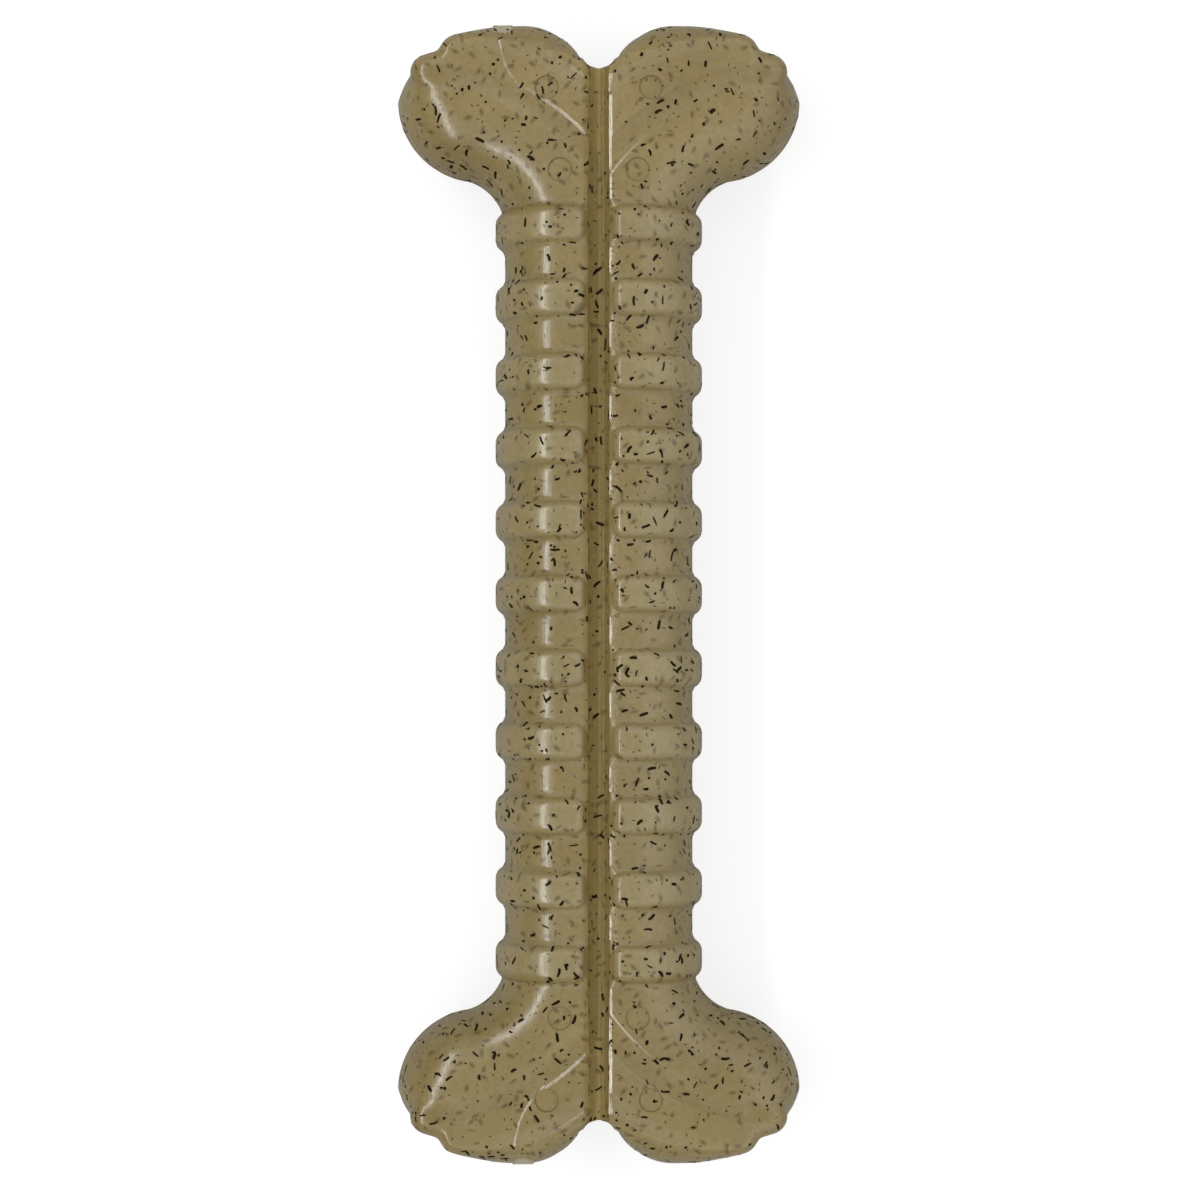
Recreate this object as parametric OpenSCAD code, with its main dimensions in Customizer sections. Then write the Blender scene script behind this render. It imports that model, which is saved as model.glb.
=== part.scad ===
// Nylon chew bone: one solid moulding of tan nylon with dark plant-fibre flecks set in its skin.
// The bone lies flat on the crowns of its ribs, +Z up, with its length along Y and its width along X.
// The origin is on the resting plane, under the middle of the bone.

/* [Overall] */
// Length of the bone, end to end
bone_length = 147; // [122:1:177]
// Width over the knobs
knob_width = 52.4; // [46:0.2:60]
// Width of the shaft between ribs
shaft_width = 24.2; // [20.2:0.2:29]
// Thickness of the shaft and knobs, flat to flat
body_thickness = 16; // [13.4:0.1:19.2]

/* [Channel] */
// Width of the groove that runs the whole length of the bone
channel_width = 3; // [2.5:0.1:3.6]
// Depth of that groove below the flat of the bars, on both faces
channel_depth = 2.4; // [2:0.1:3]
// Depth of the notch between the two knobs of one end
notch_depth = 6.1; // [5.1:0.1:7.3]
// Radius of the bottom of that notch
notch_radius = 2.2; // [1.8:0.1:2.6]

/* [Ribs] */
// Distance from one rib to the next
rib_pitch = 9.45; // [8:0.05:11.3]
// Length of a rib along the bone
rib_length = 5.4; // [4.5:0.1:6.5]
// Height of a rib above the bar
rib_height = 1.25; // [1.05:0.05:1.5]
// Radius of the edges along a rib
rib_edge_radius = 1; // [0.6:0.05:1.04]
// Flat margin between a rib and the channel
rib_margin = 0.35; // [0.25:0.05:0.7]

/* [Knobs] */
// Distance from the bone's end back to where the neck starts to flare
knob_length = 26; // [25:0.5:28]
// Radius of the hollow curve of the neck
neck_radius = 6.8; // [5.7:0.1:8.2]
// How much fatter the round end of the main roll is than the bar, on every side
lobe_swell = 0.1; // [0.08:0.02:0.3]
// Width of the groove beside the main roll, where it leaves the channel
main_groove_width = 3.2; // [2.7:0.1:3.8]
// Radius of the inner edge of the middle roll, as it turns across the knob
middle_turn = 28.7; // [28.2:0.1:29.2]
// Width of the middle roll
middle_roll_width = 3.7; // [3.1:0.1:4.3]
// Radius of the outer end of the middle roll
middle_end_radius = 2.6; // [2.2:0.1:3.1]
// Width of the groove between the middle roll and the end roll
end_groove_width = 1; // [0.8:0.1:1.2]
// Depth of the grooves between the rolls
groove_depth = 1.8; // [1.5:0.1:2.1]
// Radius of the rounded edge of the end roll
end_edge_radius = 4.5; // [3.8:0.1:5.3]
// Radius of the end's inner corner, beside the notch
end_corner_radius = 7.8; // [6.6:0.1:8.6]
// Distance from the bone's middle line to the outer end of the end roll
end_reach = 21.6; // [20.4:0.1:22.6]

/* [Ejector marks] */
// Diameter of an ejector-pin mark
ejector_diameter = 3; // [2.4:0.1:3.6]
// Depth of an ejector-pin mark
ejector_depth = 0.12; // [0.08:0.01:0.2]

/* [Flecks] */
// Width of a fibre fleck
fleck_width = 0.4; // [0.3:0.02:0.5]
// Depth of a fleck below the skin
fleck_depth = 0.25; // [0.2:0.01:0.3]
// Length of the shortest fleck
fleck_shortest = 0.8; // [0.6:0.05:1]
// Length of the longest fleck
fleck_longest = 1.5; // [1.2:0.05:1.8]
// Flecks in each gap between ribs, on one bar
flecks_per_gap = 4; // [1:1:6]
// Flecks on the crown of each rib
flecks_per_rib = 2; // [1:1:4]
// Flecks on the bend of each main roll
flecks_per_bend = 8; // [2:1:12]
// Flecks on the round end of each main roll
flecks_per_end = 8; // [2:1:12]
// Flecks on each floor of the channel
flecks_per_floor = 14; // [4:1:20]

/* [Hidden] */
$fn = 64;
overshoot = 1;
half_length = bone_length / 2;

// The bars have half-round outer sides, so their radius is half the thickness
bar_radius = body_thickness / 2;
bar_axis = shaft_width / 2 - bar_radius;
lip = channel_width / 2;
bar_flat = bar_axis - lip;
roll_width = bar_radius + bar_flat;
floor_height = bar_radius - channel_depth;
web_half = half_length - notch_depth + notch_radius;

// The bar bends about the neck's upright line, then closes in a round end about the pivot
neck_x = -(shaft_width / 2 + neck_radius);
neck_y = half_length - knob_length;
bend_radius = neck_radius + bar_radius;
lip_turn = neck_radius + roll_width;
lobe_radius = bar_radius + lobe_swell;
pivot_x = -(knob_width / 2 - bar_flat - lobe_radius);
bend_angle = acos((pivot_x - neck_x) / lip_turn);
pivot_y = neck_y + lip_turn * sin(bend_angle);
end_start = 161;
end_angle = 180 + bend_angle - end_start;
end_overlap = 20;
// The flat of the main roll runs on under the groove beside it
flat_margin = 2;

// Ribs stand at the middle of the shaft and at every pitch from there, up to the necks
rib_radius = bar_radius + rib_height;
rib_inner = lip + rib_margin;
count_slack = 0.01;
ribs_each_way = floor(neck_y / rib_pitch + count_slack);
rib_gap = rib_pitch - rib_length;
mid_height = rib_radius;

// The grooves between the rolls turn about one point beside the shaft
turn_out = 3.8;
turn_back = 8.5;
turn_x = neck_x - turn_out;
turn_y = neck_y - turn_back;
groove_taper = 4;
main_edge = middle_turn - main_groove_width + groove_taper * sqrt(2);
middle_outer = middle_turn + middle_roll_width;
end_inner = middle_outer + end_groove_width;
middle_end_angle = 88.8;
middle_end_out = 0.5;
middle_end_turn = middle_turn + middle_end_out;
middle_end_x = turn_x + middle_end_turn * cos(middle_end_angle);
middle_end_y = turn_y + middle_end_turn * sin(middle_end_angle);
// The middle and end rolls lie a little lower than the main roll
middle_drop = 0.2;
middle_end_drop = 0.35;
end_drop = 0.5;
middle_height = bar_radius - middle_drop;
middle_end_height = bar_radius - middle_end_drop;
end_height = bar_radius - end_drop;
groove_floor = bar_radius - groove_depth;

end_side_gap = 0.3;
end_corner_x = -(lip + end_side_gap + end_corner_radius);
end_corner_y = half_length - end_corner_radius;
end_roll_y = half_length - end_edge_radius;
end_cap_x = -(end_reach - end_edge_radius);

// Ejector marks lie on the flats of the main and middle rolls
ejector_inset = 2;
ejector_main_turn = middle_turn - main_groove_width - ejector_inset;
ejector_main_angle = 41;
ejector_middle_turn = middle_turn + middle_roll_width / 2;
ejector_middle_angle = 58.3;

// Flecks are spread by the fractional parts of multiples of a few irrational steps
angle_step = 0.6180340;
place_step = 0.7548777;
turn_step = 0.5698403;
size_step = 0.4142136;
seed_stride = 100;
envelope_sides = 180;
function spread(i, step, low, high) = low + (high - low) * ((i * step) % 1);

// Flecks keep clear of the edges of the face that they lie in
angle_margin = 8;
gap_play = (rib_gap - fleck_longest) / 2;
crown_play = (rib_length - 2 * rib_edge_radius - fleck_longest) / 2;
floor_play = (channel_width - fleck_longest - fleck_width) / 2;
floor_half = half_length - notch_depth - fleck_longest;
rib_on_bend = ribs_each_way * rib_pitch + rib_length / 2 - neck_y;
bend_first = asin(max(0, min(1, rib_on_bend / neck_radius))) + angle_margin;
middle_end_cover = 26;
end_first = end_start + middle_end_cover;

// The outline is the same in all four quarters, and the modules draw the upper left one
module quarter(side, end) {
    mirror([side, 0, 0]) mirror([0, end, 0]) children();
}

module four_quarters() {
    for (side = [0, 1], end = [0, 1]) quarter(side, end) children();
}

module both_faces() {
    for (face = [0, 1]) mirror([0, 0, face]) children();
}

module along_y(length) {
    rotate([90, 0, 0]) translate([0, 0, -length / 2]) linear_extrude(length) children();
}

module rounded_rectangle(size, radius) {
    across = size[0] / 2 - radius;
    up = size[1] / 2 - radius;
    translate([-size[0] / 2, -up]) square([size[0], 2 * up]);
    if (across > 0) translate([-across, -size[1] / 2]) square([2 * across, size[1]]);
    for (x = across > 0 ? [-across, across] : [0], y = [-up, up])
        translate([x, y]) circle(radius);
}

// Cross-section of a bar, from its inner side out: a flat of the full thickness, then a half round
module bar_section(flat, radius) {
    translate([0, -radius]) square([flat, 2 * radius]);
    intersection() {
        translate([flat, 0]) circle(radius);
        translate([flat, -radius]) square([radius, 2 * radius]);
    }
}

module rounded_disc(radius, edge, height) {
    rotate_extrude() intersection() {
        rounded_rectangle([2 * radius, 2 * height], edge);
        translate([0, -height]) square([radius, 2 * height]);
    }
}

// The two bars, still joined across the channel
module shaft() {
    along_y(2 * neck_y) {
        bar_section(bar_axis, bar_radius);
        mirror([1, 0]) bar_section(bar_axis, bar_radius);
    }
}

// One rib of the left bar: a half ring round the bar and a pad across its flats
module rib() {
    translate([-bar_axis, 0, 0]) rotate([90, 0, 0]) rotate([0, 0, 90]) rotate_extrude(angle = 180)
        intersection() {
            rounded_rectangle([2 * rib_radius, rib_length], rib_edge_radius);
            translate([floor_height, -rib_length / 2]) square([rib_radius, rib_length]);
        }
    intersection() {
        translate([-bar_axis, 0, 0]) rotate([90, 0, 90]) linear_extrude(bar_axis - rib_inner)
            rounded_rectangle([rib_length, 2 * rib_radius], rib_edge_radius);
        translate([-bar_axis - rib_inner, 0, -rib_radius]) linear_extrude(2 * rib_radius)
            rounded_rectangle([2 * bar_axis, rib_length], rib_edge_radius);
    }
}

module ribs() {
    for (i = [-ribs_each_way : ribs_each_way], side = [0, 1])
        translate([0, i * rib_pitch, 0]) mirror([side, 0, 0]) rib();
}

// Main roll of a knob: the bar carried round the neck to a round end
module main_roll() {
    intersection() {
        translate([neck_x, neck_y, 0]) rotate_extrude(angle = bend_angle)
            translate([lip_turn + flat_margin, 0]) mirror([1, 0])
                bar_section(bar_flat + flat_margin, bar_radius);
        translate([neck_x, neck_y, -bar_radius - overshoot])
            cube([-neck_x, knob_length, body_thickness + 2 * overshoot]);
    }
    translate([pivot_x, pivot_y, 0]) rotate([0, 0, end_start])
        rotate_extrude(angle = end_angle + end_overlap) bar_section(bar_flat, lobe_radius);
}

module turn_circle(radius) {
    translate([turn_x, turn_y]) circle(radius);
}

// Middle roll of a knob: a curved band with a round outer end
module middle_roll() {
    translate([0, 0, -middle_height]) linear_extrude(2 * middle_height) intersection() {
        difference() {
            turn_circle(middle_outer + end_groove_width / 2);
            turn_circle(middle_turn - main_groove_width);
        }
        translate([middle_end_x, neck_y]) square([-lip - middle_end_x, knob_length]);
    }
    translate([middle_end_x, middle_end_y, 0])
        rounded_disc(middle_end_radius, middle_end_radius / 2, middle_end_height);
}

// End roll of a knob: a straight end with round edges, turned in beside the notch
module end_roll() {
    translate([end_corner_x, end_corner_y, 0])
        rounded_disc(end_corner_radius, end_edge_radius, end_height);
    translate([end_cap_x, end_roll_y, 0]) {
        rounded_disc(end_edge_radius, end_edge_radius, end_height);
        rotate([90, 0, 90]) linear_extrude(end_corner_x - end_cap_x)
            rounded_rectangle([2 * end_edge_radius, 2 * end_height], end_edge_radius);
    }
}

// The grooves on both sides of the middle roll, as flat shapes
module groove_outlines() {
    intersection() {
        union() {
            difference() {
                turn_circle(middle_turn);
                translate([-groove_taper, -groove_taper]) turn_circle(main_edge);
            }
            difference() {
                turn_circle(end_inner);
                turn_circle(middle_outer);
            }
        }
        translate([-knob_width / 2, neck_y]) square([knob_width / 2 - lip, knob_length]);
    }
}

module ejector_mark(turn, angle) {
    translate([turn_x + turn * cos(angle), turn_y + turn * sin(angle), 0])
        cylinder(d = ejector_diameter, h = bar_radius);
}

module knob() {
    difference() {
        union() {
            main_roll();
            middle_roll();
            end_roll();
        }
        both_faces() translate([0, 0, groove_floor]) linear_extrude(groove_depth + overshoot)
            groove_outlines();
        translate([0, 0, bar_radius - ejector_depth])
            ejector_mark(ejector_main_turn, ejector_main_angle);
        translate([0, 0, middle_height - ejector_depth])
            ejector_mark(ejector_middle_turn, ejector_middle_angle);
    }
}

// The web between the bars, whose faces are the floors of the channel
module web() {
    difference() {
        translate([-bar_axis, -web_half, -floor_height])
            cube([2 * bar_axis, 2 * web_half, 2 * floor_height]);
        for (end = [-web_half, web_half])
            translate([0, end, -floor_height - overshoot])
                cylinder(r = notch_radius, h = 2 * (floor_height + overshoot));
    }
}

module channel() {
    both_faces() translate([-lip, -half_length, floor_height])
        cube([channel_width, bone_length, rib_radius]);
}

module moulding() {
    difference() {
        union() {
            shaft();
            four_quarters() knob();
        }
        channel();
    }
    web();
    ribs();
}

// One fleck: a flat-sided sliver lying in the YZ plane, whose X axis is the outward normal of the face
module fleck(i) {
    rotate([spread(i, turn_step, 0, 180), 0, 0])
        cube([2 * fleck_depth, fleck_width, spread(i, size_step, fleck_shortest, fleck_longest)],
             center = true);
}

// A fleck at an angle on a face that turns about the Y axis
module fleck_at(radius, angle, i) {
    rotate([0, -angle, 0]) translate([radius, 0, 0]) fleck(i);
}

module outer_fleck(radius, i) {
    fleck_at(radius, spread(i, angle_step, 90 + angle_margin, 270 - angle_margin), i);
}

module gap_flecks(seed) {
    for (gap = [-ribs_each_way : ribs_each_way - 1], k = [0 : flecks_per_gap - 1]) {
        i = seed + (gap + ribs_each_way) * flecks_per_gap + k;
        translate([-bar_axis, (gap + 0.5) * rib_pitch + spread(i, place_step, -gap_play, gap_play), 0])
            outer_fleck(bar_radius, i);
    }
}

module rib_flecks(seed) {
    for (rib = [-ribs_each_way : ribs_each_way], k = [0 : flecks_per_rib - 1]) {
        i = seed + (rib + ribs_each_way) * flecks_per_rib + k;
        translate([-bar_axis, rib * rib_pitch + spread(i, place_step, -crown_play, crown_play), 0])
            outer_fleck(rib_radius, i);
    }
}

module bend_flecks(seed) {
    for (k = [1 : flecks_per_bend])
        translate([neck_x, neck_y, 0])
            rotate([0, 0, spread(seed + k, place_step, bend_first, bend_angle - angle_margin)])
                translate([bend_radius, 0, 0]) outer_fleck(bar_radius, seed + k);
}

module end_flecks(seed) {
    for (k = [1 : flecks_per_end])
        translate([pivot_x, pivot_y, 0])
            rotate([0, 0, spread(seed + k, place_step, end_first, end_start + end_angle - angle_margin)])
                translate([bar_flat, 0, 0])
                    fleck_at(lobe_radius, spread(seed + k, angle_step, angle_margin - 90, 90 - angle_margin),
                             seed + k);
}

module floor_flecks() {
    for (k = [1 : flecks_per_floor], face = [0, 1]) {
        i = k + face * flecks_per_floor;
        translate([spread(i, angle_step, -floor_play, floor_play),
                   spread(i, place_step, -floor_half, floor_half), 0])
            fleck_at(floor_height, 90 + face * 180, i);
    }
}

// Each bar, knob quarter and channel starts its flecks from a seed of its own
function bar_seed(side) = (1 + side) * seed_stride;
function knob_seed(side, end) = (3 + side + 2 * end) * seed_stride;

module all_flecks() {
    for (side = [0, 1]) mirror([side, 0, 0]) {
        gap_flecks(bar_seed(side));
        rib_flecks(bar_seed(side));
    }
    for (side = [0, 1], end = [0, 1]) quarter(side, end) {
        bend_flecks(knob_seed(side, end));
        end_flecks(knob_seed(side, end));
    }
    floor_flecks();
}

module fleck_colour() {
    color([0.2, 0.13, 0.06]) translate([0, 0, mid_height]) children();
}

// The nylon moulding, with a pocket for every fleck
module nylon_body() {
    color("tan") translate([0, 0, mid_height]) difference() {
        moulding();
        all_flecks();
    }
}

// Flecks end flush with the face of the bar, rib, roll or channel floor that holds them
module bar_flecks(side) {
    fleck_colour() mirror([side, 0, 0]) {
        intersection() {
            translate([-bar_axis, 0, 0]) along_y(2 * neck_y) circle(bar_radius, $fn = envelope_sides);
            gap_flecks(bar_seed(side));
        }
        intersection() {
            translate([-bar_axis, 0, 0]) along_y(bone_length) circle(rib_radius, $fn = envelope_sides);
            rib_flecks(bar_seed(side));
        }
    }
}

module knob_flecks(side, end) {
    fleck_colour() quarter(side, end) {
        intersection() {
            translate([neck_x, neck_y, 0]) rotate_extrude(angle = bend_angle, $fn = envelope_sides)
                translate([bend_radius, 0]) circle(bar_radius, $fn = envelope_sides);
            bend_flecks(knob_seed(side, end));
        }
        intersection() {
            translate([pivot_x, pivot_y, 0]) rotate([0, 0, end_start])
                rotate_extrude(angle = end_angle, $fn = envelope_sides)
                    bar_section(bar_flat, lobe_radius, $fn = envelope_sides);
            end_flecks(knob_seed(side, end));
        }
    }
}

module flecks_left_bar() { bar_flecks(0); }
module flecks_right_bar() { bar_flecks(1); }
module flecks_upper_left_knob() { knob_flecks(0, 0); }
module flecks_upper_right_knob() { knob_flecks(1, 0); }
module flecks_lower_left_knob() { knob_flecks(0, 1); }
module flecks_lower_right_knob() { knob_flecks(1, 1); }

module flecks_channel() {
    fleck_colour() intersection() {
        web();
        floor_flecks();
    }
}

nylon_body();
flecks_left_bar();
flecks_right_bar();
flecks_channel();
flecks_upper_left_knob();
flecks_upper_right_knob();
flecks_lower_left_knob();
flecks_lower_right_knob();
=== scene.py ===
import math
import random

import bpy
from mathutils import Matrix, Vector


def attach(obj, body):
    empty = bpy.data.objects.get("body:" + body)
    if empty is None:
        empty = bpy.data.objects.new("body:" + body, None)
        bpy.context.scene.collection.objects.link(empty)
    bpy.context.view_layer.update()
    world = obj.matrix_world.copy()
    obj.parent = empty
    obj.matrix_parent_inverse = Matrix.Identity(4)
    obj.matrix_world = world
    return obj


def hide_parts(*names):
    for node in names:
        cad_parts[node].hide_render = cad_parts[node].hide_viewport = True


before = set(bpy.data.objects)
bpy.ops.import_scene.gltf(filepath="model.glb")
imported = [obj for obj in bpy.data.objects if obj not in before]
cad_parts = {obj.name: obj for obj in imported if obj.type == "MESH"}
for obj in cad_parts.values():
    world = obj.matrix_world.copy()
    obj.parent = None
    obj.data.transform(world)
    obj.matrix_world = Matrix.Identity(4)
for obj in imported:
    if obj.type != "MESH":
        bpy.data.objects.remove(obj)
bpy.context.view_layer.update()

# Nylon body
# The whole bone is one solid injection moulding of tan nylon: two ribbed bars joined by a web, with a knob
# of three rolls at each corner. One quarter is modelled from overlapping forms, fused into one skin with the
# small blends that a mould leaves, cut with the grooves of the rolls, and mirrored both ways.
mm = 0.001
parting_height = 9.25
bar_radius = 8.0
bar_axis = 4.1
lip = 1.3
wall_top = 7.35
neck = (-18.9, 47.5)
bend_angle = 78.73


def pick(piece):
    bpy.ops.object.select_all(action="DESELECT")
    piece.select_set(True)
    bpy.context.view_layer.objects.active = piece


def arc(centre, radius, first, last, steps):
    angles = [math.radians(first + (last - first) * i / steps) for i in range(steps + 1)]
    return [(centre[0] + radius * math.cos(a), centre[1] + radius * math.sin(a)) for a in angles]


def flat_outline(name, points):
    mesh = bpy.data.meshes.new(name)
    corners = [[value * mm for value in point] for point in points]
    mesh.from_pydata(corners, [], [list(range(len(corners)))])
    piece = bpy.data.objects.new(name, mesh)
    bpy.context.collection.objects.link(piece)
    pick(piece)
    return piece


def tidy_normals():
    bpy.ops.mesh.select_all(action="SELECT")
    bpy.ops.mesh.remove_doubles(threshold=0.001 * mm)
    bpy.ops.mesh.normals_make_consistent(inside=False)
    bpy.ops.object.mode_set(mode="OBJECT")


def extrude(piece, move):
    pick(piece)
    bpy.ops.object.mode_set(mode="EDIT")
    bpy.ops.mesh.select_all(action="SELECT")
    bpy.ops.mesh.extrude_region_move(TRANSFORM_OT_translate={"value": [value * mm for value in move]})
    tidy_normals()


def spin(piece, centre, angle, steps):
    pick(piece)
    bpy.ops.object.mode_set(mode="EDIT")
    bpy.ops.mesh.select_all(action="SELECT")
    middle = (centre[0] * mm, centre[1] * mm, 0)
    bpy.ops.mesh.spin(steps=steps, angle=-math.radians(angle), center=middle, axis=(0, 0, 1))
    tidy_normals()


def apply_modifier(piece, kind, **settings):
    pick(piece)
    modifier = piece.modifiers.new(kind.lower(), kind)
    for key, value in settings.items():
        setattr(modifier, key, value)
    bpy.ops.object.modifier_apply(modifier=modifier.name)


def bar_section(y):
    section = [(-lip, wall_top)] + [(-lip, bar_radius)] + arc((-bar_axis, 0), bar_radius, 90, 270, 64)
    section += [(-lip, -bar_radius), (-lip, -wall_top)]
    return [(x, y, z) for x, z in section]


bar = flat_outline("bar", bar_section(-1))
extrude(bar, (0, neck[1] + 1, 0))
bend = flat_outline("bend", bar_section(neck[1]))
spin(bend, neck, bend_angle, 40)

# The bar ends in a round lobe that turns about a pivot
pivot = (-15.5, 64.5)
lobe_radius = 8.0
lobe_flat = 2.6
lobe_first = 180
lobe_way = (math.cos(math.radians(lobe_first)), math.sin(math.radians(lobe_first)))
lobe_section = [(0, -lobe_radius)] + arc((lobe_flat, 0), lobe_radius, -90, 90, 64) + [(0, lobe_radius)]
lobe = flat_outline("lobe", [(pivot[0] + r * lobe_way[0], pivot[1] + r * lobe_way[1], z)
                             for r, z in lobe_section])
spin(lobe, pivot, 82, 40)
tip_pivot = (-19.5, 63.4)
tip_reach = 6.5
tip_half_height = 7.8
tip_section = [(tip_reach * c, tip_half_height * s) for c, s in arc((0, 0), 1, -90, 90, 48)]
tip_first = math.radians(112)
tip = flat_outline("lobe_tip", [(tip_pivot[0] + r * math.cos(tip_first), tip_pivot[1] + r * math.sin(tip_first), z)
                                for r, z in tip_section])
spin(tip, tip_pivot, 76, 36)

# The middle and end rolls start as one slab with a round rim, which fills the rest of the knob
corner = (-9.6, 65.7)
corner_radius = 7.8
cap = (-18.0, 69.3)
cap_radius = 2.6
rim_round = 5.5
cap_rim = 2.5
lip_rim = 0.15
rim_steps = 8
knob_plan = [(-lip, 44), (-lip, 66.8), (-1.75, 67.9)] + arc(corner, corner_radius, 24, 90, 17)
knob_plan += [(-12, 73.4), (-13.5, 73.15), (-15, 72.8), (-17, 72.27)] + arc(cap, cap_radius, 105, 180, 10)
knob_plan += [(-20.6, 65.5)] + arc(neck, 15.8, 79, 0, 16) + [(-3.1, 44)]


def loft(name, rings):
    count = len(rings[0])
    corners = [[value * mm for value in point] for ring in rings for point in ring]
    faces = [list(range(count)), list(range(len(corners) - count, len(corners)))]
    for start in range(0, len(corners) - count, count):
        for i in range(count):
            following = (i + 1) % count
            faces.append([start + i, start + following, start + count + following, start + count + i])
    mesh = bpy.data.meshes.new(name)
    mesh.from_pydata(corners, [], faces)
    piece = bpy.data.objects.new(name, mesh)
    bpy.context.collection.objects.link(piece)
    pick(piece)
    bpy.ops.object.mode_set(mode="EDIT")
    tidy_normals()
    return piece


def round_slab(name, plan, half_height, rim_of):
    inward = []
    for before, after in zip(plan[-1:] + plan, plan[1:] + plan[:1]):
        along = Vector((after[0] - before[0], after[1] - before[1])).normalized()
        inward.append((-along.y, along.x))
    turns = [(-1, rim_steps - i) for i in range(rim_steps + 1)] + [(1, i) for i in range(rim_steps + 1)]
    rings = []
    for face, step in turns:
        angle = math.radians(90 * step / rim_steps)
        ring = []
        for (x, y), (in_x, in_y) in zip(plan, inward):
            rim = rim_of(x, y)
            inset = rim * (1 - math.cos(angle))
            ring.append((x + in_x * inset, y + in_y * inset, face * (half_height - rim * (1 - math.sin(angle)))))
        rings.append(ring)
    return loft(name, rings)


def knob_rim(x, y):
    if x > -lip - 0.4:
        return lip_rim
    if x < cap[0] - cap_radius + 0.01:
        return cap_rim
    if y < corner[1] + 2:
        return 0
    turned = math.degrees(math.atan2(y - corner[1], x - corner[0]))
    full = rim_round - (rim_round - cap_rim) * min(1, max(0, (x + 11) / (cap[0] + 11)))
    return lip_rim + (full - lip_rim) * min(1, max(0, (turned - 5) / 50))


slab = round_slab("slab", knob_plan, bar_radius, knob_rim)

# The middle roll reaches the outline between the lobe and the end, and ends there in a round corner
roll_plan = arc((-21.9, 67.0), 2.4, 102, 195, 10) + [(-23.6, 65), (-18, 62), (-15, 65), (-17, 70), (-20.4, 69.9)]
roll = round_slab("middle_roll_end", roll_plan, 7.55, lambda x, y: 2.3)

# Ribs are half rings with a pad across the flat, on a low foot that becomes the blend into the bar
rib_pitch = 9.45


def rib_ring(name, radius, inner, edge, length):
    section = arc((-inner - edge, radius - edge), edge, 0, 90, 8)
    section += arc((-bar_axis, 0), radius, 90, 270, 72)
    section += arc((-inner - edge, edge - radius), edge, 270, 360, 8)
    ring = flat_outline(name, [(x, -length / 2, z) for x, z in section])
    extrude(ring, (0, length, 0))
    return ring


rib = rib_ring("rib", 9.25, 1.55, 1.65, 5.0)
apply_modifier(rib, "BEVEL", width=1.5 * mm, segments=8, limit_method="ANGLE", angle_limit=math.radians(50),
               use_clamp_overlap=False)
foot = rib_ring("rib_foot", 8.22, 1.58, 0.4, 5.6)


def join(name, pieces):
    pick(pieces[0])
    for piece in pieces:
        piece.select_set(True)
    bpy.ops.object.join()
    pieces[0].name = name
    return pieces[0]


ribs = join("ribs", [rib, foot])
apply_modifier(ribs, "ARRAY", count=6, use_relative_offset=False, use_constant_offset=True,
               constant_offset_displace=(0, rib_pitch * mm, 0))

# The web between the bars carries the channel floor, with sloping walls up to the lips on both faces
floor_height = 6.2
wall_plan = [(-lip - 0.3, wall_top), (-lip, wall_top), (-1.04, 6.72), (-0.9, 6.45), (-0.76, 6.29), (-0.5, floor_height),
             (-0.5, floor_height - 0.3), (-lip - 0.3, floor_height - 0.3)]
web_plan = [(1, -1)] + arc((0, 69.6), 2.2, 297, 205, 14) + [(-4, 69), (-4, -1)]
web = flat_outline("web", [(x, y, -floor_height) for x, y in web_plan])
extrude(web, (0, 0, 2 * floor_height))
walls = []
for face in (1, -1):
    wall = flat_outline("channel_wall", [(x, -1, face * z) for x, z in wall_plan])
    extrude(wall, (0, 68.6, 0))
    walls.append(wall)

body = join("nylon_moulding", [bar, bend, lobe, tip, slab, roll, ribs, web] + walls)
apply_modifier(body, "REMESH", mode="VOXEL", voxel_size=0.16 * mm)
apply_modifier(body, "SMOOTH", factor=0.5, iterations=9)

# Grooves between the rolls turn about one point beside the shaft, the rolls lying like shingles
turn = (-22.7, 38.8)
groove_first = 15
cutter_top = 12
# Distance from the turning point, height beside the channel, height at the outside of the knob
groove_rows = [(25.3, 8.13, 8.3), (25.9, 7.88, 8.15), (27.5, 7.72, 7.8), (28.75, 7.58, 7.53),
               (29.15, 7.78, 7.5), (29.7, 7.82, 7.56), (31.0, 7.8, 7.68), (32.5, 7.75, 7.64),
               (32.85, 7.62, 7.58), (34.1, 7.42, 7.42), (34.5, 7.6, 7.42), (36.0, 7.55, 7.48), (45.0, 7.5, 7.5)]


def closer_rows(rows, spacing):
    result = []
    for row, following in zip(rows, rows[1:]):
        parts = max(1, math.ceil((following[0] - row[0]) / spacing))
        result += [[a + (b - a) * i / parts for a, b in zip(row, following)] for i in range(parts)]
    return result + [list(rows[-1])]


def groove_height(rows, distance, softness):
    for row, following in zip(rows, rows[1:]):
        if distance <= following[0]:
            part = max(0, (distance - row[0]) / (following[0] - row[0]))
            crisp, soft = (row[i] + (following[i] - row[i]) * part for i in (1, 2))
            return crisp + (soft - crisp) * softness
    return rows[-1][1]


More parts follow.
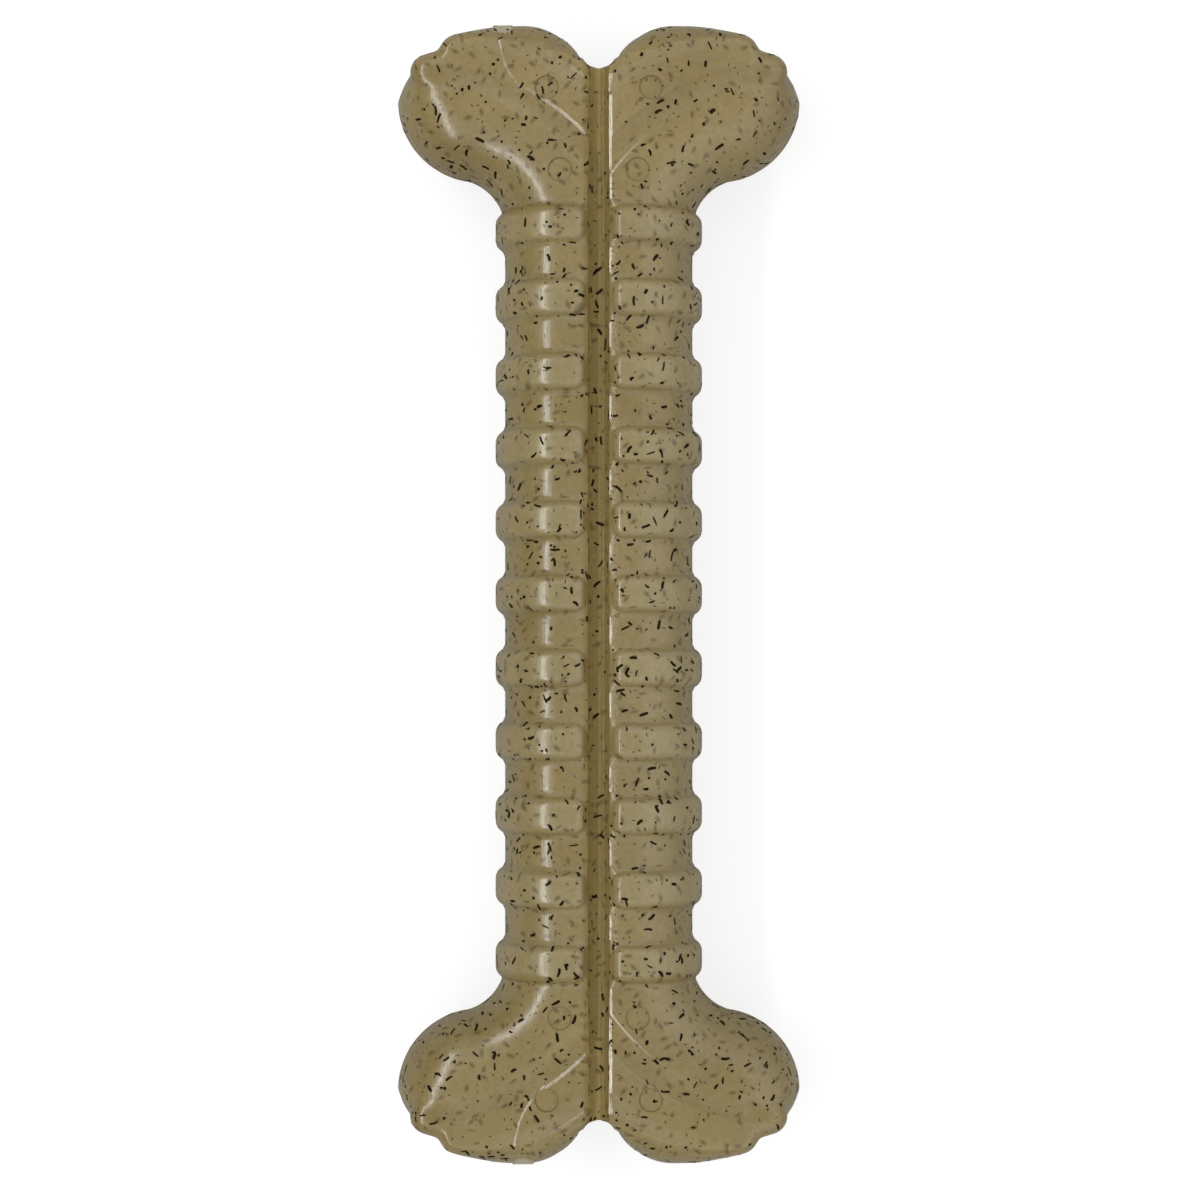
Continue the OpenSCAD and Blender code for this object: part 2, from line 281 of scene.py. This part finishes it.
cutters = []
way = (math.cos(math.radians(groove_first)), math.sin(math.radians(groove_first)))
for face in (1, -1):
    section = [(r, height) for r, height, _ in closer_rows(groove_rows, 0.4)]
    section += [(groove_rows[-1][0], cutter_top), (groove_rows[0][0], cutter_top)]
    cutter = flat_outline("groove_cutter", [(turn[0] + r * way[0], turn[1] + r * way[1], face * z)
                                            for r, z in section])
    spin(cutter, turn, 100, 120)
    for point in cutter.data.vertices:
        x, y = point.co.x / mm - turn[0], point.co.y / mm - turn[1]
        if abs(point.co.z) < (cutter_top - 1) * mm:
            turned = min(1, max(0, (math.degrees(math.atan2(y, x)) - 60) / 18))
            softness = turned * turned * (3 - 2 * turned)
            point.co.z = face * groove_height(groove_rows, math.hypot(x, y), softness) * mm
    cutters.append(cutter)

# Round marks were left by the pins that pushed the bone out of the mould
pin_marks = ((-4.96, 54.1, 8.0), (-6.65, 64.6, 7.75))
pin_radius = 1.5
for x, y, height in pin_marks:
    bpy.ops.mesh.primitive_cylinder_add(vertices=64, radius=pin_radius * mm, depth=4 * mm,
                                        location=(x * mm, y * mm, (height - 0.16 + 2) * mm))
    pin = bpy.context.object
    bpy.ops.object.transform_apply(location=True, rotation=True, scale=True)
    cutters.append(pin)
for cutter in cutters:
    apply_modifier(body, "BOOLEAN", operation="DIFFERENCE", object=cutter, solver="MANIFOLD")
    bpy.data.objects.remove(cutter)

# Grooves fade into soft valleys towards the outside of the knob
fade = body.vertex_groups.new(name="groove_fade")
for point in body.data.vertices:
    x, y = point.co.x / mm, point.co.y / mm
    if y > 55 and x < -10:
        fade.add([point.index], min(1, (-10 - x) / 6), "REPLACE")
apply_modifier(body, "SMOOTH", factor=0.5, iterations=80, vertex_group="groove_fade")
body.vertex_groups.clear()

# Between the ribs and along the knobs, the lips have a narrow slope that faces the channel
lip_slope = math.tan(math.radians(20))
slope_reach = (-1.2, -1.74)
rib_clear = 3.1
bpy.context.view_layer.update()


def skin_height(x, y, face):
    hit, place, _, _ = body.ray_cast(Vector((x * mm, y * mm, face * 0.05)), Vector((0, 0, -face)))
    return place.z / mm if hit else parting_height


lip_runs = [(i * rib_pitch + rib_clear, (i + 1) * rib_pitch - rib_clear) for i in range(5)]
lip_runs.append((5 * rib_pitch + rib_clear, 66.4))
lip_cutters = []
for face in (1, -1):
    for first, last in lip_runs:
        rings = []
        steps = math.ceil((last - first) / 0.2)
        for i in range(steps + 1):
            y = first + (last - first) * i / steps
            skin = skin_height(-2.0, y, face)
            low = skin - face * (slope_reach[0] - slope_reach[1] - 0.02) * lip_slope
            high = skin + face * 0.02 * lip_slope
            above = skin + face
            rings.append([(slope_reach[0], y, low), (slope_reach[1], y, high), (slope_reach[1], y, above),
                          (slope_reach[0], y, above)])
        lip_cutters.append(loft("lip_cutter", rings))
lip_cutter = join("lip_cutter", lip_cutters)
apply_modifier(body, "BOOLEAN", operation="DIFFERENCE", object=lip_cutter, solver="MANIFOLD")
bpy.data.objects.remove(lip_cutter)

# Where the two halves of the mould met, a low ridge runs all round the edge
pick(body)
bpy.ops.object.mode_set(mode="EDIT")
bpy.ops.mesh.select_mode(type="VERT")
bpy.ops.mesh.select_all(action="DESELECT")
bpy.ops.object.mode_set(mode="OBJECT")
for point in body.data.vertices:
    point.select = abs(point.co.z) < 0.11 * mm
bpy.ops.object.mode_set(mode="EDIT")
bpy.ops.transform.shrink_fatten(value=0.1 * mm)
bpy.ops.object.mode_set(mode="OBJECT")

apply_modifier(body, "DECIMATE", ratio=0.1)
apply_modifier(body, "MIRROR", use_axis=(True, True, False), use_bisect_axis=(True, True, False),
               use_bisect_flip_axis=(True, False, False), bisect_threshold=0.0001 * mm,
               merge_threshold=0.002 * mm)
body.data.transform(Matrix.Translation((0, 0, parting_height * mm)))
bpy.context.view_layer.update()

# On the left side, where the nylon flowed in at both ends, a fine step runs from the groove to the gate
branches = [[(-7.6, 62.3), (-9.6, 64.3), (-11.0, 66.1), (-11.9, 67.8), (-12.3, 69.6), (-12.7, 71.2),
             (-13.3, 72.9)],
            [(-6.4, -62.5), (-8.1, -64.2), (-9.3, -66.0), (-10.1, -67.8), (-10.5, -69.6), (-10.8, -71.2),
             (-11.0, -72.9)]]
step_depth = 0.11
step_slope = 1.7


def smooth_path(points, spacing):
    path = []
    for start, middle, following, end in zip([points[0]] + points, points, points[1:], points[2:] + [points[-1]]):
        parts = math.ceil(math.dist(middle, following) / spacing)
        for i in range(parts):
            t = i / parts
            path.append([0.5 * (2 * b + (c - a) * t + (2 * a - 5 * b + 4 * c - d) * t * t
                                + (3 * b - a - 3 * c + d) * t ** 3)
                         for a, b, c, d in zip(start, middle, following, end)])
    return path + [list(points[-1])]


for branch in branches:
    path = smooth_path(branch, 0.4)
    rings = []
    for i, (x, y) in enumerate(path):
        before, after = path[max(0, i - 1)], path[min(len(path) - 1, i + 1)]
        along = Vector((after[0] - before[0], after[1] - before[1])).normalized()
        outward = Vector((along.y, -along.x))
        if outward.x > 0:
            outward = -outward
        depth = step_depth * min(1, i / 4)
        ring = []
        for reach, lift in ((step_slope, 0.03), (0.3, -depth), (-0.1, 0.05)):
            place = Vector((x, y)) + outward * reach
            ring.append((place.x, place.y, skin_height(place.x, place.y, 1) + lift))
        for reach in (-0.1, step_slope):
            place = Vector((x, y)) + outward * reach
            ring.append((place.x, place.y, 2 * parting_height + 2))
        rings.append(ring)
    cutter = loft("step_cutter", rings)
    apply_modifier(body, "BOOLEAN", operation="DIFFERENCE", object=cutter, solver="MANIFOLD")
    bpy.data.objects.remove(cutter)

# Stubs of the two gates were cut off close to the skin
for x, end, width in ((-12.4, 1, 2.6), (-9.8, -1, 2.8)):
    bpy.ops.mesh.primitive_cube_add(size=1, location=(x * mm, end * 73.2 * mm, (parting_height + 1.3) * mm))
    stub = bpy.context.object
    stub.scale = (width * mm, 0.9 * mm, 3.4 * mm)
    bpy.ops.object.transform_apply(location=True, rotation=True, scale=True)
    apply_modifier(stub, "BEVEL", width=0.2 * mm, segments=3, limit_method="ANGLE")
    apply_modifier(body, "BOOLEAN", operation="UNION", object=stub, solver="MANIFOLD")
    bpy.data.objects.remove(stub)
pick(body)
bpy.ops.object.shade_smooth_by_angle(angle=math.radians(40))

# The slopes of the lips and grooves keep crisp edges
crisp_grooves = ((25.4, 26.1), (28.4, 36))
bpy.ops.object.mode_set(mode="EDIT")
bpy.ops.mesh.select_mode(type="EDGE")
bpy.ops.mesh.select_all(action="DESELECT")
bpy.ops.mesh.edges_select_sharp(sharpness=math.radians(11))
bpy.ops.object.mode_set(mode="OBJECT")
corners = [point.co / mm for point in body.data.vertices]
for edge in body.data.edges:
    if edge.select:
        x, y, z = (corners[edge.vertices[0]] + corners[edge.vertices[1]]) / 2
        away = math.hypot(abs(x) + turn[0], abs(y) - turn[1])
        groove = abs(y) > 50 and abs(x) < 13 and any(low < away < high for low, high in crisp_grooves)
        if abs(z - parting_height) > 6.9 and (1.25 < abs(x) < 1.8 or groove):
            edge.use_edge_sharp = True

# The nylon is tan and mottled, with flecks in its depth; painted sheen makes the ribs paler, painted shade the channel
# browner


def add_node(tree, kind, sockets=(), **settings):
    made = tree.nodes.new("ShaderNode" + kind)
    for key, value in settings.items():
        setattr(made, key, value)
    for name, value in sockets:
        if isinstance(value, bpy.types.NodeSocket):
            tree.links.new(value, made.inputs[name])
        else:
            made.inputs[name].default_value = value
    return made


def calc(tree, operation, *values):
    return add_node(tree, "Math", list(enumerate(values)), operation=operation).outputs[0]


def vector_calc(tree, operation, *values):
    return add_node(tree, "VectorMath", list(enumerate(values)), operation=operation).outputs["Vector"]


def dot(tree, first, second):
    return add_node(tree, "VectorMath", [(0, first), (1, second)], operation="DOT_PRODUCT").outputs["Value"]


def scaled(tree, vector, amount):
    sockets = [("Vector", vector), ("Scale", amount)]
    return add_node(tree, "VectorMath", sockets, operation="SCALE").outputs["Vector"]


def rise(tree, value, low, high):
    sockets = [("Value", value), ("From Min", low), ("From Max", high)]
    return add_node(tree, "MapRange", sockets, interpolation_type="SMOOTHSTEP").outputs[0]


def spread(tree, value, low, high):
    sockets = [("Value", value), ("From Min", 0.25), ("From Max", 0.75), ("To Min", low), ("To Max", high)]
    return add_node(tree, "MapRange", sockets).outputs[0]


def noise(tree, vector, scale, detail):
    sockets = [("Vector", vector), ("Scale", scale), ("Detail", detail)]
    return add_node(tree, "TexNoise", sockets).outputs[0]


def mix(tree, mask, first, second, blend_type="MIX"):
    sockets = [(0, mask), (6, first), (7, second)]
    return add_node(tree, "Mix", sockets, data_type="RGBA", blend_type=blend_type).outputs[2]


def new_group(name, inputs, outputs):
    tree = bpy.data.node_groups.new(name, "ShaderNodeTree")
    for socket, kind in inputs:
        tree.interface.new_socket(socket, in_out="INPUT", socket_type="NodeSocket" + kind)
    for socket, kind in outputs:
        tree.interface.new_socket(socket, in_out="OUTPUT", socket_type="NodeSocket" + kind)
    return tree, tree.nodes.new("NodeGroupInput").outputs, tree.nodes.new("NodeGroupOutput").inputs


# Slivers lie flat in the skin, one in some of the cells of a loose grid, each its own way round
slivers, given, result = new_group(
    "sliver_mask",
    [("Vector", "Vector"), ("Normal", "Vector"), ("Cells", "Float"), ("Half Length", "Float"),
     ("Half Width", "Float"), ("Softness", "Float"), ("Presence", "Float"), ("Seed", "Float")],
    [("Mask", "Float")])
place = vector_calc(slivers, "ADD", scaled(slivers, given["Vector"], given["Cells"]), given["Seed"])
cell = add_node(slivers, "TexVoronoi", [("Vector", place), ("Scale", 1), ("Randomness", 0.85)])
offset = vector_calc(slivers, "SUBTRACT", place, cell.outputs["Position"])
lift = scaled(slivers, given["Normal"], dot(slivers, offset, given["Normal"]))
offset = vector_calc(slivers, "SUBTRACT", offset, lift)
heading = vector_calc(slivers, "SUBTRACT", cell.outputs["Color"], (0.5, 0.5, 0.5))
lift = scaled(slivers, given["Normal"], dot(slivers, heading, given["Normal"]))
heading = vector_calc(slivers, "NORMALIZE", vector_calc(slivers, "SUBTRACT", heading, lift))
along = dot(slivers, offset, heading)
across = vector_calc(slivers, "SUBTRACT", offset, scaled(slivers, heading, along))
across = add_node(slivers, "VectorMath", [(0, across)], operation="LENGTH").outputs["Value"]
along = calc(slivers, "POWER", calc(slivers, "DIVIDE", along, given["Half Length"]), 2)
across = calc(slivers, "POWER", calc(slivers, "DIVIDE", across, given["Half Width"]), 2)
reach = calc(slivers, "DIVIDE", calc(slivers, "SQRT", calc(slivers, "ADD", along, across)), given["Cells"])
inside = rise(slivers, reach, calc(slivers, "ADD", 1, given["Softness"]),
              calc(slivers, "SUBTRACT", 1, given["Softness"]))
draw = add_node(slivers, "TexWhiteNoise", [("Vector", cell.outputs["Color"])]).outputs["Value"]
shown = calc(slivers, "LESS_THAN", draw, given["Presence"])
slivers.links.new(calc(slivers, "MULTIPLY", inside, shown), result["Mask"])

# The mould's skin is smooth but not flat, with fine grain and faint marks drawn along the bone
skin, given, result = new_group("moulded_skin", [("Vector", "Vector")],
                                [("Height", "Float"), ("Roughness", "Float")])
grain = noise(skin, given["Vector"], 2200, 3)
waves = noise(skin, given["Vector"], 420, 2)
drawn = noise(skin, vector_calc(skin, "MULTIPLY", given["Vector"], (3600, 160, 3600)), 1, 2)
height = calc(skin, "MULTIPLY_ADD", waves, 1.6, calc(skin, "MULTIPLY", grain, 0.15))
height = calc(skin, "MULTIPLY_ADD", noise(skin, given["Vector"], 5200, 2), 0.05, height)
skin.links.new(calc(skin, "MULTIPLY_ADD", drawn, 1.0, height), result["Height"])
skin.links.new(spread(skin, grain, 0.16, 0.26), result["Roughness"])

nylon = bpy.data.materials.new("tan_nylon")
nylon.use_nodes = True
tree = nylon.node_tree
shader = tree.nodes["Principled BSDF"]
coordinates = add_node(tree, "TexCoord")
place = coordinates.outputs["Object"]
parted = add_node(tree, "SeparateXYZ", [(0, place)]).outputs
x, y, z = parted[0], parted[1], parted[2]
beside = calc(tree, "ABSOLUTE", x)
level = calc(tree, "ABSOLUTE", calc(tree, "SUBTRACT", z, parting_height * mm))
shaft = rise(tree, calc(tree, "ABSOLUTE", y), 49 * mm, 48 * mm)

# Painted reflection: the tan turns greener towards the lower end, as if it mirrored a bluish sky
upper = rise(tree, y, -10 * mm, 60 * mm)
colour = mix(tree, upper, (0.256, 0.197, 0.075, 1), (0.288, 0.218, 0.086, 1))
mottle = noise(tree, place, 95, 3)
colour = mix(tree, spread(tree, mottle, 0, 1), colour, (0.205, 0.15, 0.055, 1))
patches = noise(tree, vector_calc(tree, "ADD", place, (0.31, 0.17, 0.05)), 75, 2)
colour = mix(tree, spread(tree, patches, 0, 0.5), colour, (0.268, 0.22, 0.108, 1))
# Painted sheen: the tops of the ribs are paler and greyer
out = calc(tree, "MAXIMUM", calc(tree, "SUBTRACT", beside, bar_axis * mm), 0)
radial = calc(tree, "SQRT", calc(tree, "ADD", calc(tree, "MULTIPLY", out, out), calc(tree, "MULTIPLY", level, level)))
painted_rib_sheen = calc(tree, "MULTIPLY", rise(tree, radial, 8.2 * mm, 9.2 * mm), shaft)
colour = mix(tree, calc(tree, "MULTIPLY", painted_rib_sheen, 0.4), colour, (0.315, 0.265, 0.142, 1))
# Painted shade in the channel: browner there, and darker still on its right wall, which faces the lamp
channel = calc(tree, "MULTIPLY", rise(tree, beside, 1.65 * mm, 1.3 * mm), rise(tree, level, 7.8 * mm, 6.6 * mm))
lit_wall = rise(tree, x, 0.05 * mm, 0.4 * mm)
channel_shade = mix(tree, lit_wall, (0.285, 0.208, 0.068, 1), (0.195, 0.146, 0.05, 1))
colour = mix(tree, calc(tree, "MULTIPLY", channel, 0.85), colour, channel_shade)
# Painted shade darkens the left lip, which faces away from the lamp
shaded_lip = calc(tree, "MULTIPLY", rise(tree, x, -2.4 * mm, -1.35 * mm), rise(tree, x, -1.2 * mm, -1.35 * mm))
colour = mix(tree, calc(tree, "MULTIPLY", shaded_lip, 0.8), colour, (0.19, 0.14, 0.05, 1))
# Painted shade darkens the outer slope of the first groove on each knob
turned = add_node(tree, "CombineXYZ", [(0, calc(tree, "ADD", beside, turn[0] * mm)),
                                       (1, calc(tree, "SUBTRACT", calc(tree, "ABSOLUTE", y), turn[1] * mm))])
away = add_node(tree, "VectorMath", [(0, turned.outputs[0])], operation="LENGTH").outputs["Value"]
groove_shade = calc(tree, "MULTIPLY", rise(tree, away, 25.9 * mm, 27.6 * mm), rise(tree, away, 29.1 * mm, 28.6 * mm))
groove_shade = calc(tree, "MULTIPLY", groove_shade, rise(tree, calc(tree, "ABSOLUTE", y), 52 * mm, 56 * mm))
colour = mix(tree, calc(tree, "MULTIPLY", groove_shade, 0.45), colour, (0.2, 0.145, 0.05, 1))
speckle = noise(tree, place, 1500, 4)
lighter = spread(tree, speckle, 0.9, 1.1)
colour = mix(tree, 1, colour, lighter, "MULTIPLY")

normal = coordinates.outputs["Normal"]
deep = add_node(tree, "Group", [("Vector", place), ("Normal", normal), ("Cells", 450), ("Half Length", 0.45 * mm),
                                ("Half Width", 0.22 * mm), ("Softness", 0.9), ("Presence", 0.6), ("Seed", 3.1)],
                node_tree=slivers).outputs["Mask"]
near = add_node(tree, "Group", [("Vector", place), ("Normal", normal), ("Cells", 770), ("Half Length", 0.21 * mm),
                                ("Half Width", 0.07 * mm), ("Softness", 0.35), ("Presence", 0.3), ("Seed", 8.7)],
                node_tree=slivers).outputs["Mask"]
colour = mix(tree, calc(tree, "MULTIPLY", deep, 0.7), colour, (0.08, 0.048, 0.012, 1))
colour = mix(tree, calc(tree, "MULTIPLY", near, 0.9), colour, (0.02, 0.012, 0.004, 1))

# Painted shade darkens a thin ring round each mark of the pins, on the upper face
folded = add_node(tree, "CombineXYZ", [(0, beside), (1, calc(tree, "ABSOLUTE", y))]).outputs[0]
for mark in pin_marks:
    middle = (-mark[0] * mm, mark[1] * mm, 0)
    away = add_node(tree, "VectorMath", [(0, folded), (1, middle)], operation="DISTANCE").outputs["Value"]
    off_ring = calc(tree, "ABSOLUTE", calc(tree, "SUBTRACT", away, pin_radius * mm))
    ring = calc(tree, "MULTIPLY", rise(tree, off_ring, 0.16 * mm, 0.04 * mm), rise(tree, z, 15 * mm, 16 * mm))
    colour = mix(tree, calc(tree, "MULTIPLY", ring, 0.45), colour, (0.13, 0.095, 0.03, 1))

# Beside the right lip the skin is scuffed between the ribs, and the gates were cut to pale rough patches
strip = calc(tree, "MULTIPLY", rise(tree, x, 1.5 * mm, 1.7 * mm), rise(tree, x, 2.7 * mm, 1.9 * mm))
between = calc(tree, "MULTIPLY", shaft, rise(tree, level, 8.3 * mm, 8.1 * mm))
strip = calc(tree, "MULTIPLY", strip, calc(tree, "MULTIPLY", between, rise(tree, z, 16 * mm, 16.8 * mm)))
scuff_noise = noise(tree, vector_calc(tree, "MULTIPLY", place, (5200, 2600, 5200)), 1, 4)
scuffed = calc(tree, "MULTIPLY", strip, rise(tree, scuff_noise, 0.42, 0.62))
colour = mix(tree, calc(tree, "MULTIPLY", scuffed, 0.3), colour, (0.42, 0.37, 0.26, 1))
for gate in ((-12.4, 72.7, 13.5), (-9.8, -73.1, 12.0)):
    squeezed = vector_calc(tree, "MULTIPLY", place, (1, 1, 0.4))
    middle = [gate[0] * mm, gate[1] * mm, gate[2] * 0.4 * mm]
    away = add_node(tree, "VectorMath", [(0, squeezed), (1, middle)], operation="DISTANCE")
    patch = rise(tree, calc(tree, "MULTIPLY_ADD", scuff_noise, 1.6 * mm, away.outputs["Value"]), 2.4 * mm, 1.9 * mm)
    colour = mix(tree, calc(tree, "MULTIPLY", patch, 0.7), colour, (0.5, 0.44, 0.32, 1))
tree.links.new(colour, shader.inputs["Base Color"])

finish = add_node(tree, "Group", [("Vector", place)], node_tree=skin)
edge = calc(tree, "MULTIPLY", rise(tree, beside, 1.9 * mm, 1.75 * mm), rise(tree, level, 7.2 * mm, 7.4 * mm))
rough = calc(tree, "MULTIPLY_ADD", edge, -0.1, finish.outputs["Roughness"])
tree.links.new(calc(tree, "MULTIPLY_ADD", scuffed, 0.2, rough), shader.inputs["Roughness"])
height = calc(tree, "MULTIPLY_ADD", scuffed, 0.8, finish.outputs["Height"])
bumped = add_node(tree, "Bump", [("Strength", 0.5), ("Distance", 0.03 * mm), ("Height", height)])
tree.links.new(bumped.outputs["Normal"], shader.inputs["Normal"])
dull = calc(tree, "MAXIMUM", calc(tree, "MULTIPLY", near, 0.8), calc(tree, "MULTIPLY", channel, 0.6))
dull = calc(tree, "MAXIMUM", dull, calc(tree, "MULTIPLY", shaded_lip, 0.8))
tree.links.new(calc(tree, "MULTIPLY_ADD", dull, -0.5, 0.5), shader.inputs["Specular IOR Level"])
shader.inputs["IOR"].default_value = 1.53
shader.inputs["Subsurface Weight"].default_value = 0.5
shader.inputs["Subsurface Radius"].default_value = (1, 0.8, 0.45)
shader.inputs["Subsurface Scale"].default_value = 1.2 * mm
body.data.materials.clear()
body.data.materials.append(nylon)
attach(body, "root")
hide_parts("nylon_body")

# Fibre flecks
# Slivers of dark plant fibre were mixed into the nylon before moulding. Those that froze against the mould
# show in its skin, flush with it. One chip is modelled and copied to every place, in one piece for each zone.
chip_stand = 0.03
chip_sink = 0.2
longest_chip = 1.4
more_chips = 2400
chance = random.Random(7)
bpy.ops.mesh.primitive_cylinder_add(vertices=8, radius=0.5, depth=1, end_fill_type="TRIFAN")
chip = bpy.context.object
chip_points = [tuple(point.co) for point in chip.data.vertices]
chip_faces = [list(face.vertices) for face in chip.data.polygons]
bpy.data.objects.remove(chip)
zones = {name: ([], []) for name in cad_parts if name.startswith("flecks_")}


def blunt(value):
    return math.copysign(0.5 * math.sqrt(abs(2 * value)), value)


def put_chip(zone, centre, direction, length, width):
    _, centre, normal, _ = body.closest_point_on_mesh(centre)
    along = (direction - normal * direction.dot(normal)).normalized()
    across = normal.cross(along)
    taper = chance.uniform(-0.5, 0.5)
    bow = chance.uniform(-0.35, 0.35)
    points, faces = zones[zone]
    first = len(points)
    for u, v, w in chip_points:
        u, v = blunt(u), blunt(v)
        aside = v * width * (1 + taper * u) + bow * width * (4 * u * u - 0.5)
        _, skin_point, outward, _ = body.closest_point_on_mesh(centre + (along * u * length + across * aside) * mm)
        points.append(skin_point + outward * (chip_stand if w > 0 else -chip_sink) * mm)
    faces += [[first + i for i in face] for face in chip_faces]


def zone_of(place):
    across_middle, along_middle, up = place / mm
    if abs(along_middle) > 48.4:
        end = "upper" if along_middle > 0 else "lower"
        return f"flecks_{end}_{'left' if across_middle < 0 else 'right'}_knob"
    if abs(across_middle) < lip and abs(up - parting_height) < 7:
        return "flecks_channel"
    return "flecks_left_bar" if across_middle < 0 else "flecks_right_bar"


# The flecks of the CAD model keep their places
for name in zones:
    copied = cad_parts[name].copy()
    copied.data = copied.data.copy()
    bpy.context.collection.objects.link(copied)
    pick(copied)
    bpy.ops.object.mode_set(mode="EDIT")
    bpy.ops.mesh.select_all(action="SELECT")
    bpy.ops.mesh.remove_doubles(threshold=0.001 * mm)
    bpy.ops.mesh.separate(type="LOOSE")
    bpy.ops.object.mode_set(mode="OBJECT")
    for fleck in list(bpy.context.selected_objects):
        points = [point.co.copy() for point in fleck.data.vertices]
        centre = sum(points, Vector()) / len(points)
        tip = max((point - centre for point in points), key=lambda arm: arm.length)
        put_chip(name, centre, tip, min(longest_chip, 1.7 * tip.length / mm), chance.uniform(0.22, 0.42))
        bpy.data.objects.remove(fleck)

# Smaller ones are strewn by chance over the whole skin
body.data.calc_loop_triangles()
triangles = list(body.data.loop_triangles)
for triangle in chance.choices(triangles, weights=[triangle.area for triangle in triangles], k=more_chips):
    low, high = sorted((chance.random(), chance.random()))
    corners = [body.data.vertices[i].co for i in triangle.vertices]
    centre = corners[0] * low + corners[1] * (high - low) + corners[2] * (1 - high)
    direction = Vector([chance.gauss(0, 1) for _ in range(3)])
    put_chip(zone_of(centre), centre, direction, 0.3 + 1.0 * chance.random() ** 2.2, chance.uniform(0.18, 0.4))

fibre = bpy.data.materials.new("dark_fibre")
fibre.use_nodes = True
tree = fibre.node_tree
shader = tree.nodes["Principled BSDF"]
place = add_node(tree, "TexCoord").outputs["Object"]
shade = noise(tree, place, 900, 2)
colour = mix(tree, spread(tree, shade, 0, 1), (0.006, 0.0035, 0.001, 1), (0.024, 0.014, 0.004, 1))
fray = noise(tree, place, 9000, 2)
colour = mix(tree, 1, colour, spread(tree, fray, 0.75, 1.25), "MULTIPLY")
tree.links.new(colour, shader.inputs["Base Color"])
finish = add_node(tree, "Group", [("Vector", place)], node_tree=skin)
tree.links.new(finish.outputs["Roughness"], shader.inputs["Roughness"])
bumped = add_node(tree, "Bump", [("Strength", 0.5), ("Distance", 0.03 * mm), ("Height", finish.outputs["Height"])])
tree.links.new(bumped.outputs["Normal"], shader.inputs["Normal"])
shader.inputs["Specular IOR Level"].default_value = 0.02
for name, (points, faces) in zones.items():
    mesh = bpy.data.meshes.new(name.replace("flecks", "fibre"))
    mesh.from_pydata(points, [], faces)
    piece = bpy.data.objects.new(mesh.name, mesh)
    bpy.context.collection.objects.link(piece)
    pick(piece)
    bpy.ops.object.mode_set(mode="EDIT")
    bpy.ops.mesh.select_all(action="SELECT")
    bpy.ops.mesh.normals_make_consistent(inside=False)
    bpy.ops.object.mode_set(mode="OBJECT")
    piece.data.materials.append(fibre)
    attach(piece, "root")
    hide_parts(name)

# Floor
# A plain white sheet that the bone lies on; the camera sees it lit up to white, with the bone's faint shadow.
bpy.ops.mesh.primitive_plane_add(size=6)
floor = bpy.context.object
floor.name = "white_floor"
white = bpy.data.materials.new("white_sheet")
white.use_nodes = True
tree = white.node_tree
shader = tree.nodes["Principled BSDF"]
seen = add_node(tree, "LightPath").outputs["Is Camera Ray"]
colour = mix(tree, seen, (0.4, 0.4, 0.4, 1), (0.3, 0.3, 0.3, 1))
tree.links.new(colour, shader.inputs["Base Color"])
shader.inputs["Roughness"].default_value = 1
shader.inputs["Specular IOR Level"].default_value = 0
shader.inputs["Emission Color"].default_value = (1, 1, 1, 1)
tree.links.new(calc(tree, "MULTIPLY", seen, 0.75), shader.inputs["Emission Strength"])
floor.data.materials.append(white)

# Camera
# It looks straight down at the bone, from a little nearer its lower end.
camera_data = bpy.data.cameras.new("camera")
camera_data.sensor_width = 36
camera_data.lens = 82.63
camera_data.clip_start = 0.01
camera_data.shift_x = 0.001
camera_data.shift_y = 0.0608
camera = bpy.data.objects.new("camera", camera_data)
camera.location = (0, -10.1 * mm, (359 + parting_height) * mm)
bpy.context.scene.collection.objects.link(camera)
bpy.context.scene.camera = camera

# Light
# One narrow soft box as long as a window stands to the left. A white room gives the rest, most of it from above
# and from the right, but straight overhead the camera keeps some of it off.
lamp_data = bpy.data.lights.new("left_soft_box", "AREA")
lamp_data.shape = "RECTANGLE"
lamp_data.size = 2.4
lamp_data.size_y = 0.14
lamp_data.energy = 13.2
lamp = bpy.data.objects.new("left_soft_box", lamp_data)
lamp.location = (-0.88, 0, 1.1)
lamp.rotation_euler = (-lamp.location).to_track_quat("-Z", "Y").to_euler()
bpy.context.scene.collection.objects.link(lamp)
world = bpy.data.worlds.new("white_room")
bpy.context.scene.world = world
world.use_nodes = True
tree = world.node_tree
way = add_node(tree, "SeparateXYZ", [(0, add_node(tree, "TexCoord").outputs["Generated"])]).outputs
brightness = calc(tree, "MULTIPLY_ADD", calc(tree, "MAXIMUM", way["Z"], 0), 1.12, 0.17)
brightness = calc(tree, "MULTIPLY_ADD", way["X"], 0.48, brightness)
overhead = rise(tree, way["Z"], 0.86, 0.97)
brightness = calc(tree, "MAXIMUM", calc(tree, "MULTIPLY_ADD", overhead, -0.8, brightness), 0.05)
brightness = calc(tree, "MAXIMUM", brightness, add_node(tree, "LightPath").outputs["Is Camera Ray"])
tree.nodes["Background"].inputs["Color"].default_value = (1, 1, 1, 1)
tree.links.new(brightness, tree.nodes["Background"].inputs["Strength"])
bpy.context.scene.view_settings.view_transform = "Standard"
